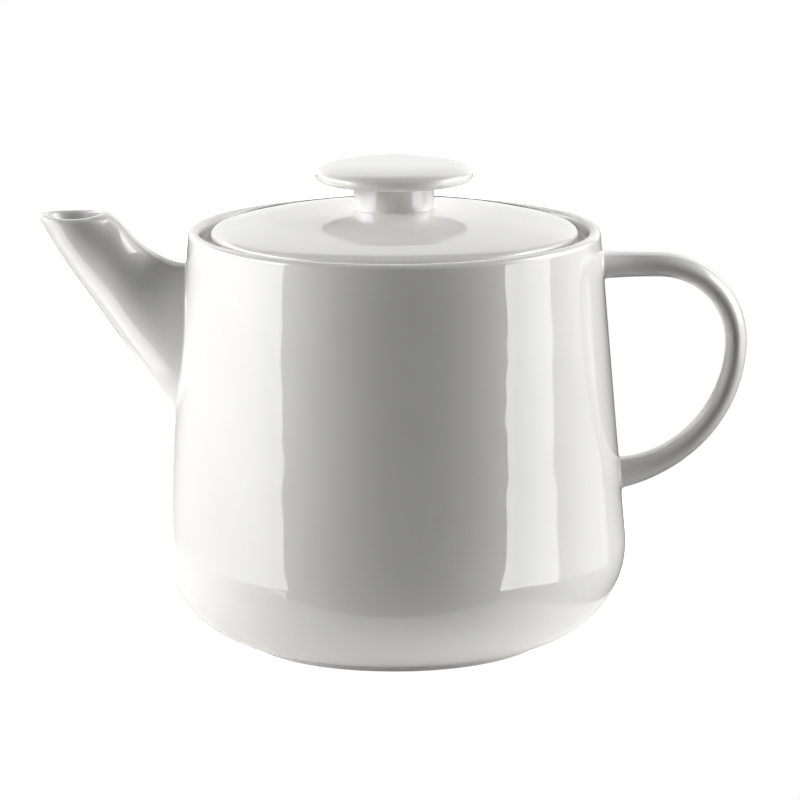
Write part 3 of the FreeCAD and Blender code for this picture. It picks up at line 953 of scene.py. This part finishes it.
@dataclass
class Lid:
    """The loose lid with its flange, the knob on it and the slip under the knob. Sizes are in millimetres."""

    seat: float = 121.6
    radius: float = 55.2
    edge: float = 2.65
    height: float = 10.45
    wall: float = 4.5
    flange: float = 49.2
    flange_inside: float = 45.6
    flange_foot: float = 109.6
    flange_edge: float = 0.6
    flange_root: float = 0.8
    shoulder: float = 50.4
    dome_drop: float = 5.1
    dome_power: float = 2.5
    knob: float = 23.8
    knob_edge: float = 1.8
    knob_height: float = 6.1
    knob_fullness: float = 2.45
    stem: float = 12.1
    stem_height: float = 8.15
    neck: float = 1.2
    slip: float = 0.4
    bead: float = 0.6
    bead_inside: float = 0.3
    bead_under: float = 0.2
    lid_unevenness: float = 0.09
    knob_unevenness: float = 0.05
    steps: int = 192
    hollow_points: int = 17
    edge_steps: int = 12
    shoulder_steps: int = 22
    dome_points: int = 45
    foot_points: int = 7
    neck_steps: int = 8
    stem_steps: int = 10
    knob_edge_steps: int = 14
    knob_points: int = 49

    def dome(self, across: float) -> float:
        """Height of the lid's dome at a distance from the axis."""
        return self.seat + self.height - self.dome_drop * (across / self.shoulder) ** self.dome_power

    def lid_outline(self) -> list[Point]:
        """Draws the lid from the axis inside round to the axis on top.

        Returns:
            Pairs of radius and height.
        """
        reaches = np.linspace(0.0, self.flange_inside, self.hollow_points)
        hollow = [(across, self.dome(across) - self.wall) for across in reaches]
        flange = rounded([
            (*hollow[-1], 0.0),
            (self.flange_inside, self.flange_foot, self.flange_edge),
            (self.flange, self.flange_foot, self.flange_edge),
            (self.flange, self.seat, self.flange_root),
            (self.radius - self.edge, self.seat, 0.0),
        ])
        edge = arc(self.radius - self.edge, self.seat + self.edge, self.edge, -90.0, 0.0, self.edge_steps)
        top = [(across, self.dome(across)) for across in np.linspace(self.shoulder, 0.0, self.dome_points)]
        fall = self.dome_drop * self.dome_power / self.shoulder
        corner = (self.radius, top[0][1] - (self.radius - self.shoulder) * fall)
        shoulder = [tuple(point) for point in bend(edge[-1], corner, top[0], self.shoulder_steps)]
        return joined(hollow, flange, edge, shoulder, top)

    def knob_outline(self) -> list[Point]:
        """Draws the knob from the axis under the stem round to the axis on top.

        Returns:
            Pairs of radius and height.
        """
        reaches = np.linspace(0.0, self.stem, self.foot_points)
        foot = [(across, self.dome(across) + self.slip) for across in reaches]
        under = self.seat + self.height + self.stem_height
        reach, rise = self.knob - self.knob_edge, self.knob_height - self.knob_edge
        corners = [(*foot[-1], 0.0), (self.stem, under, self.neck), (reach, under, 0.0)]
        neck = rounded(corners, self.neck_steps)
        stem = run(foot[-1], neck[1], self.stem_steps)
        below = run(neck[-2], (reach, under), self.neck_steps)
        edge = arc(reach, under + self.knob_edge, self.knob_edge, -90.0, 0.0, self.knob_edge_steps)
        top = []
        power = 2 / self.knob_fullness
        for turn in np.radians(np.linspace(0.0, 90.0, self.knob_points)):
            across, up = max(math.cos(turn), 0.0), math.sin(turn)
            top.append((self.knob * across**power, under + self.knob_edge + rise * up**power))
        top[-1] = (0.0, under + self.knob_height)
        return joined(foot, stem, neck[2:-1], below, edge, top)

    def slip_outline(self) -> list[Point]:
        """Draws the slip ring at the foot of the stem.

        Returns:
            Pairs of radius and height, the last of them like the first.
        """
        foot = (self.stem + self.bead, self.dome(self.stem + self.bead))
        corner = self.dome(self.stem)
        inside = self.stem - self.bead_inside
        end = (self.stem, corner + self.bead)
        hollow = [tuple(point) for point in bend(foot, (self.stem, corner), end, self.neck_steps)]
        back = [(inside, end[1]), (inside, corner - self.bead_under), (foot[0], foot[1] - self.bead_under)]
        return hollow + back + [hollow[0]]

    def build(self, turned: TurnedRule, glaze: Material, slip: Material) -> list[Piece]:
        """Turns lid, knob and slip.

        Args:
            turned: Rule for turned pieces.
            glaze: Finish of lid and knob.
            slip: Finish of the slip ring.

        Returns:
            The three pieces.
        """
        pieces = []
        parts = (
            ("lid", self.lid_outline(), Slot.GLAZE, glaze, self.lid_unevenness),
            ("knob", self.knob_outline(), Slot.GLAZE, glaze, self.knob_unevenness),
            ("knob_luting", self.slip_outline(), Slot.SLIP, slip, 0.0),
        )
        for name, points, slot, finish, uneven in parts:
            mesh = turned.apply(outline_mesh(f"{name}_outline", points), name, Steps_Around=self.steps,
                                Unevenness=uneven * MM, Finish=finish)
            pieces.append(Piece(name, Body.LID, slot, outward(mesh), finish))
        return pieces


def crossing(line: np.ndarray, away: np.ndarray, level: float) -> np.ndarray:
    """The point where a line that leaves the pot's skin reaches a distance from it.

    Args:
        line: Points of the line, from inside the wall outwards.
        away: Distance of each point outside the skin.
        level: Distance to find.

    Returns:
        The point.
    """
    k = max(int(np.argmax(away > level)), 1)
    share = (level - away[k - 1]) / (away[k] - away[k - 1])
    return line[k - 1] + (line[k] - line[k - 1]) * share


@dataclass
class Joint:
    """The small hollow of slip where a stuck-on piece meets the pot. Sizes are in millimetres."""

    name: str
    height: float
    reach: float
    sink: float = 0.25
    tuck: float = 0.35
    steps: int = 8

    def build(self, pot: Pot, rings: np.ndarray, finish: Material) -> Piece:
        """Lays the slip round the foot of a piece.

        Args:
            pot: The pot that carries the piece.
            rings: The piece's skin as rings by points by XYZ, in millimetres, from inside the wall outwards.
            finish: Finish of the slip.

        Returns:
            The piece.
        """
        away = pot.above_skin(rings)
        around = rings.shape[1]
        foot = np.array([crossing(rings[:, j], away[:, j], 0.0) for j in range(around)])
        top = np.array([crossing(rings[:, j], away[:, j], self.height) for j in range(around)])
        along = np.roll(foot, -1, axis=0) - np.roll(foot, 1, axis=0)
        skin = pot.skin_normal(foot)
        side = np.cross(along, skin)
        side /= np.linalg.norm(side, axis=1, keepdims=True)
        centre = foot.mean(axis=0)
        side *= np.sign(np.sum(side * (foot - centre), axis=1, keepdims=True).mean())
        low = foot + side * self.reach
        low -= skin * pot.above_skin(low)[:, None]
        rows = bend(top, foot, low, self.steps)
        rows.append(low - skin * self.sink)
        rows.append(foot - side * self.tuck - skin * self.sink)
        rows.append(top - side * self.tuck)
        mesh = ring_mesh(self.name, np.array(rows) * MM)
        return Piece(self.name, Body.POT, Slot.SLIP, mesh, finish)


@dataclass
class Spout:
    """The hollow tapering spout with its straight underside and level mouth. Sizes are in millimetres."""

    tip_x: float = -107.9
    mouth_z: float = 130.8
    dip: float = 0.8
    slope: float = 55.6
    curl: float = 1.6
    root_drop: float = 60.7
    root_top: float = 16.1
    root_x: float = -65.5
    mouth_length: float = 20.9
    mouth_narrowing: float = 0.4
    root_narrowing: float = 13.5
    wall: float = 2.6
    lip: float = 2.2
    crown: float = 0.6
    sunk: float = 0.5
    slip_height: float = 0.9
    slip_reach: float = 0.8
    around: int = 112
    rows: int = 90
    outside_rows: int = 72
    inside_rows: int = 60
    lip_steps: tuple[int, int] = (9, 7)
    ovals: tuple[tuple[float, float, float, float], ...] = (
        (-0.19, -0.45, -0.025, 1.68), (0.02, 0.0, 0.0, 1.0), (0.20, 0.351, 0.217, 0.66),
        (0.39, 0.573, 0.46, 0.31), (0.58, 0.725, 0.702, 0.10), (0.77, 0.867, 0.876, 0.0),
        (1.0, 1.0, 1.0, 0.0),
    )

    def skin(self, inset: float) -> np.ndarray:
        """The spout's surface before the mouth is cut.

        Args:
            inset: How far inside the outside it lies.

        Returns:
            Rings by points by XYZ, from inside the wall to the mouth.
        """
        tip_z = self.mouth_z + self.dip
        line_x = self.tip_x - self.curl
        line_run = self.root_drop / math.tan(math.radians(self.slope))
        heel_x = self.tip_x + self.mouth_length
        table = []
        for low, across, up, narrow in self.ovals:
            low_x = line_x + (1 - low) * line_run + (self.curl if low == 1.0 else 0.0)
            low_z = tip_z - (1 - low) * self.root_drop
            top_x = self.root_x + across * (heel_x - self.root_x)
            top_z = tip_z - self.root_top + up * self.root_top
            deep = np.array((top_x - low_x, 0.0, top_z - low_z))
            depth = float(np.linalg.norm(deep))
            less = self.mouth_narrowing + narrow * (self.root_narrowing - self.mouth_narrowing)
            half = deep / depth * (depth / 2 - inset)
            centre = ((low_x + top_x) / 2, 0.0, (low_z + top_z) / 2)
            table.append((*centre, *half, (depth - less) / 2 - inset))
        rows = np.array(table)
        steps = np.linalg.norm(np.diff(rows[:, :3], axis=0), axis=1)
        knots = np.concatenate(([0.0], np.cumsum(steps)))
        read = smooth_values(knots, rows, np.linspace(0.0, knots[-1], self.rows))
        turn = np.linspace(0.0, 2 * math.pi, self.around, endpoint=False)
        side = np.zeros((self.rows, self.around, 3))
        side[:, :, 1] = read[:, 6:7] * np.sin(turn)
        return read[:, None, :3] + read[:, None, 3:6] * np.cos(turn)[None, :, None] + side

    def mouth_level(self, x: np.ndarray) -> np.ndarray:
        """Height of the mouth's edge, which dips between its two ends.

        Args:
            x: Places along the mouth.

        Returns:
            Height at each place.
        """
        radius = self.mouth_length**2 / (8 * self.dip) + self.dip / 2
        middle = self.tip_x + self.mouth_length / 2
        return self.mouth_z - self.dip + radius - np.sqrt(radius**2 - (x - middle) ** 2)

    def trimmed(self, pot: Pot, rings: np.ndarray, count: int, short: float) -> np.ndarray:
        """Trims the spout's lines between the pot's wall and the mouth.

        Args:
            pot: The pot that carries the spout.
            rings: The untrimmed surface.
            count: Number of rings to keep.
            short: How far below the mouth's edge the lines end.

        Returns:
            Rings by points by XYZ.
        """
        lines = np.zeros((count, rings.shape[1], 3))
        shares = np.linspace(0.0, 1.0, count)
        for j in range(rings.shape[1]):
            line = rings[:, j]
            length = np.concatenate(([0.0], np.cumsum(np.linalg.norm(np.diff(line, axis=0), axis=1))))
            start = float(np.interp(-self.sunk, pot.above_skin(line), length))
            over = line[:, 2] - self.mouth_level(line[:, 0])
            k = int(np.argmax(over > 0)) or len(line) - 1
            end = length[k - 1] - over[k - 1] / (over[k] - over[k - 1]) * (length[k] - length[k - 1]) - short
            at = start + (end - start) * shares
            lines[:, j] = smooth_values(length, line, at)
        return lines

    def build(self, pot: Pot, glaze: Material, slip: Material) -> list[Piece]:
        """Draws the spout and its slip.

        Args:
            pot: The pot that carries the spout.
            glaze: Finish of the spout.
            slip: Finish of the slip.

        Returns:
            The spout and its slip.
        """
        outside, bore = self.skin(0.0), self.skin(self.wall)
        outer = self.trimmed(pot, outside, self.outside_rows, self.lip)
        inner = self.trimmed(pot, bore, self.inside_rows, self.lip / 2)
        edge_out, edge_in = self.trimmed(pot, outside, 2, 0.0)[1], self.trimmed(pot, bore, 2, 0.0)[1]
        crown = edge_out + (edge_in - edge_out) * self.crown
        lip_out = bend(outer[-1], edge_out, crown, self.lip_steps[0])
        lip_in = bend(crown, edge_in, inner[-1], self.lip_steps[1])
        rings = np.concatenate((outer, np.array(lip_out[1:] + lip_in[1:-1]), inner[::-1]))
        mesh = ring_mesh("spout", rings * MM)
        joint = Joint("spout_luting", self.slip_height, self.slip_reach)
        return [Piece("spout", Body.POT, Slot.GLAZE, mesh, glaze), joint.build(pot, outside, slip)]


@dataclass
class Handle:
    """The oval loop that swells towards both ends. Sizes are in millimetres."""

    rim: float
    arm_z: float = 114.4
    bend_x: float = 79.6
    bend_radius: float = 23.4
    sweep_radius: float = 41.2
    thickness: float = 6.5
    width: float = 12.0
    upper_sunk: float = 1.0
    lower_cut: float = 4.5
    slip_height: float = 1.0
    slip_reach: float = 0.9
    around: int = 72
    rows: int = 150
    upper_rows: int = 40
    lower_rows: int = 59
    arm_ovals: tuple[Oval, ...] = ((-0.35, 1.34, 1.16), (0.12, 1.24, 1.10), (0.5, 1.14, 1.02))
    bend_ovals: tuple[Oval, ...] = ((90, 1.11, 1.0), (60, 1.08, 1.0), (30, 1.03, 1.0), (0, 1.0, 1.0))
    sweep_ovals: tuple[Oval, ...] = (
        (-22, 1.0, 1.0), (-44, 1.02, 1.0), (-62, 1.12, 1.0), (-76, 1.32, 1.06), (-90, 1.62, 1.16),
    )

    def path(self) -> np.ndarray:
        """The loop's path.

        Returns:
            Rows of length along the path, X, Z, the turn of the path in radians, thickness and width factors.
        """
        bend_z = self.arm_z - self.bend_radius
        sweep_x = self.bend_x + self.bend_radius - self.sweep_radius
        rows = []
        arm = self.bend_x - self.rim
        for share, thick, wide in self.arm_ovals:
            rows.append((share * arm, thick, wide))
        for angle, thick, wide in self.bend_ovals:
            rows.append((arm + math.radians(90 - angle) * self.bend_radius, thick, wide))
        quarter = arm + math.pi / 2 * self.bend_radius
        for angle, thick, wide in self.sweep_ovals:
            rows.append((quarter + math.radians(-angle) * self.sweep_radius, thick, wide))
        knots = np.array(rows)
        length = np.linspace(-self.upper_sunk, knots[-1, 0] - self.lower_cut, self.rows)
        factors = smooth_values(knots[:, 0], knots[:, 1:], length)
        path = []
        for s, (thick, wide) in zip(length, factors):
            if s < arm:
                place = (self.rim + s, self.arm_z, math.pi / 2)
            elif s < quarter:
                a = math.pi / 2 - (s - arm) / self.bend_radius
                across, up = self.bend_radius * math.cos(a), self.bend_radius * math.sin(a)
                place = (self.bend_x + across, bend_z + up, a)
            else:
                a = -(s - quarter) / self.sweep_radius
                across, up = self.sweep_radius * math.cos(a), self.sweep_radius * math.sin(a)
                place = (sweep_x + across, bend_z + up, a)
            path.append((s, *place, thick, wide))
        return np.array(path)

    def rings(self) -> np.ndarray:
        """Works out the handle's skin.

        Returns:
            Rings by points by XYZ, from the upper end to the lower.
        """
        rows = self.path()
        turn = np.linspace(0.0, 2 * math.pi, self.around, endpoint=False)
        skin = np.zeros((len(rows), self.around, 3))
        for k, (_, x, z, a, thick, wide) in enumerate(rows):
            deep = thick * self.thickness / 2 * np.cos(turn)
            skin[k, :, 0] = x + deep * math.cos(a)
            skin[k, :, 1] = wide * self.width / 2 * np.sin(turn)
            skin[k, :, 2] = z + deep * math.sin(a)
        return skin

    def build(self, pot: Pot, rule: LoopRule, glaze: Material, slip: Material) -> list[Piece]:
        """Bends the handle and lays its slip.

        Args:
            pot: The pot that carries the handle.
            rule: Rule for the loop.
            glaze: Finish of the handle.
            slip: Finish of the slip.

        Returns:
            The handle and the slip at both ends.
        """
        rows = self.path()
        line = bpy.data.meshes.new("handle_path")
        edges = [(k, k + 1) for k in range(len(rows) - 1)]
        line.from_pydata([(row[1] * MM, 0.0, row[2] * MM) for row in rows], edges, [])
        deep = line.attributes.new("half_depth", "FLOAT_VECTOR", "POINT")
        wide = line.attributes.new("half_width", "FLOAT_VECTOR", "POINT")
        for k, (_, _, _, a, thick, broad) in enumerate(rows):
            half = thick * self.thickness / 2 * MM
            deep.data[k].vector = (half * math.cos(a), 0.0, half * math.sin(a))
            wide.data[k].vector = (0.0, broad * self.width / 2 * MM, 0.0)
        mesh = rule.apply(line, "handle", Steps_Around=self.around, Finish=glaze)
        work = bmesh.new()
        work.from_mesh(mesh)
        bmesh.ops.holes_fill(work, edges=work.edges, sides=0)
        work.to_mesh(mesh)
        work.free()
        skin = self.rings()
        upper = Joint("handle_upper_luting", self.slip_height, self.slip_reach)
        lower = Joint("handle_lower_luting", self.slip_height, self.slip_reach)
        return [
            Piece("handle", Body.POT, Slot.GLAZE, outward(mesh), glaze),
            upper.build(pot, skin[: self.upper_rows], slip),
            lower.build(pot, skin[-self.lower_rows :][::-1], slip),
        ]


# stage


@dataclass(frozen=True)
class Stop:
    """One place along a soft panel: its azimuth in degrees and its light below and above the waist."""

    azimuth: float
    low: float
    high: float


@dataclass
class SoftPanel:
    """A soft light panel on an arc round the pot, brighter or dimmer above its waist, with slanting ends.

    Angles are in degrees: azimuths from the camera's side, heights above the horizon.
    """

    name: str
    stops: tuple[Stop, ...]
    foot: float = -16.0
    slant_from: float = -6.5
    slant_to: float = -1.5
    slant: float = 9.0
    waist: tuple[float, float] = (9.0, 15.0)
    head: float = 38.0
    distance: float = 2.4
    level: float = 0.06
    step: float = 1.5

    def strip(self) -> tuple[np.ndarray, np.ndarray, np.ndarray]:
        """Reads the stops at even steps along the panel.

        Returns:
            Azimuths, with the light below and above the waist at each.
        """
        stops = sorted(self.stops, key=lambda stop: stop.azimuth)
        places = [stop.azimuth for stop in stops]
        first, last = self.stops[0].azimuth, self.stops[-1].azimuth
        turns = np.linspace(first, last, round(abs(last - first) / self.step) + 1)
        turns = np.unique(np.concatenate((turns, places)))
        low = np.interp(turns, places, [stop.low for stop in stops])
        high = np.interp(turns, places, [stop.high for stop in stops])
        return turns, low, high

    def build(self) -> bpy.types.Object:
        """Makes the panel.

        Returns:
            The panel, which the camera doesn't see.
        """
        slant = math.copysign(self.slant, self.stops[0].azimuth) / 2
        rows = ((self.foot, -slant, 0.0), (self.slant_from, -slant, 0.0), (self.slant_to, slant, 0.0),
                (self.waist[0], slant, 0.0), (self.waist[1], slant, 1.0), (self.head, slant, 1.0))
        verts, glows = [], []
        for turn, dim, bright in zip(*self.strip()):
            for rise, shift, share in rows:
                around = math.radians(turn + shift)
                height = self.level + self.distance * math.tan(math.radians(rise))
                verts.append((self.distance * math.sin(around), -self.distance * math.cos(around), height))
                glows.append(float(dim + (bright - dim) * share))
        tall = len(rows)
        faces = []
        for start in range(0, len(verts) - tall, tall):
            for a in range(start, start + tall - 1):
                faces.append((a, a + tall, a + tall + 1, a + 1))
        cloth = PanelCloth(self.name)
        mesh = bpy.data.meshes.new(self.name)
        mesh.from_pydata(verts, [], faces)
        mesh.attributes.new(cloth.brightness, "FLOAT", "POINT").data.foreach_set("value", glows)
        mesh.materials.append(cloth.build())
        panel = plain_object(self.name, mesh)
        panel.visible_camera = False
        return panel


LEFT_PANEL = SoftPanel("left_panel", (
    Stop(-58.0, 4.1, 7.4), Stop(-66.0, 3.7, 10.0), Stop(-78.0, 3.0, 13.4), Stop(-95.0, 1.7, 12.8),
    Stop(-115.0, 0.4, 4.0), Stop(-150.0, 0.1, 1.4),
), head=28.0)
LOW_PANEL = SoftPanel("low_panel", (
    Stop(-56.0, 2.7, 2.7), Stop(-80.0, 2.7, 2.7), Stop(-112.0, 2.2, 2.2),
), foot=-40.0, slant=0.0, slant_from=-36.0, slant_to=-30.0, waist=(-26.0, -22.0), head=-17.5)
RIGHT_PANEL = SoftPanel("right_panel", (
    Stop(57.5, 5.1, 0.6), Stop(62.0, 5.1, 0.8), Stop(63.5, 4.2, 1.2), Stop(76.0, 4.1, 3.8),
    Stop(90.0, 3.8, 8.0), Stop(92.0, 0.7, 7.6), Stop(108.0, 0.7, 7.6), Stop(110.0, 0.8, 3.0),
    Stop(136.0, 0.7, 0.6),
), waist=(2.0, 6.0), head=44.0)
BACK_PANEL = SoftPanel("back_panel", (
    Stop(150.0, 1.1, 1.3), Stop(210.0, 1.1, 1.3),
), foot=-1.0, slant=0.0, slant_from=0.0, slant_to=3.0, head=48.0)


@dataclass
class Studio:
    """Pale table, soft panels and camera. Lengths are in metres and angles in degrees."""

    table_front: float = -0.093
    table_back: float = 1.0
    table_sides: tuple[float, float] = (-0.17, 0.078)
    table_top: TableTop = TableTop()
    camera_place: tuple[float, float, float] = (0.0, -1.46466, 0.37718)
    camera_tilt: float = 77.781
    camera_roll: float = -0.172
    camera_lens: float = 222.4
    camera_sensor: float = 36.0
    camera_reach: float = 20.0
    camera_shift: tuple[float, float] = (0.00634, 0.0519)
    panels: tuple[SoftPanel, ...] = (LEFT_PANEL, LOW_PANEL, RIGHT_PANEL, BACK_PANEL)

    def build(self) -> None:
        """Builds table, world, panels and camera."""
        self.add_table()
        self.add_world()
        for panel in self.panels:
            panel.build()
        self.add_camera()
        bpy.context.scene.view_settings.view_transform = "Standard"

    def add_table(self) -> None:
        """Adds the table top as one flat sheet."""
        left, right = self.table_sides
        front, back = self.table_front, self.table_back
        corners = [(left, front), (right, front), (right, back), (left, back)]
        mesh = bpy.data.meshes.new("table")
        mesh.from_pydata([(x, y, 0.0) for x, y in corners], [], [(0, 1, 2, 3)])
        mesh.materials.append(self.table_top.build())
        plain_object("table", mesh)

    def add_world(self) -> None:
        """Sets a world that is white behind the pot and dark in its reflections."""
        world = bpy.data.worlds.new("studio")
        bpy.context.scene.world = world
        world.use_nodes = True
        work = NodeWork(world.node_tree)
        path = work.node("ShaderNodeLightPath")
        back = world.node_tree.nodes["Background"]
        work.feed(back, Color=(1.0, 1.0, 1.0, 1.0), Strength=path.outputs["Is Camera Ray"])

    def add_camera(self) -> None:
        """Adds the camera at the photograph's viewing angle."""
        data = bpy.data.cameras.new("camera")
        data.lens = self.camera_lens
        data.sensor_width = self.camera_sensor
        data.shift_x, data.shift_y = self.camera_shift
        data.clip_end = self.camera_reach
        camera = bpy.data.objects.new("camera", data)
        camera.location = self.camera_place
        camera.rotation_mode = "XYZ"
        camera.rotation_euler = (math.radians(self.camera_tilt), 0.0, 0.0)
        camera.rotation_euler.rotate_axis("Z", math.radians(self.camera_roll))
        bpy.context.scene.collection.objects.link(camera)
        bpy.context.scene.camera = camera


# whole teapot


def main() -> None:
    """Builds every piece in order, then the stage."""
    logging.basicConfig(level=logging.INFO, format="%(name)s %(message)s")
    glaze, pot_glaze, slip = GLOSS_GLAZE.build(), POT_GLAZE.build(), SLIP_GLAZE.build()
    turned, loop, strainer = TurnedRule(), LoopRule(), StrainerRule()
    pot = Pot()
    pieces = [pot.build(turned, strainer, pot_glaze)]
    pieces += Spout().build(pot, glaze, slip)
    pieces += Handle(pot.rim).build(pot, loop, glaze, slip)
    pieces += Lid().build(turned, glaze, slip)
    for piece in pieces:
        piece.place()
    Studio().build()


if __name__ == "__main__":
    main()
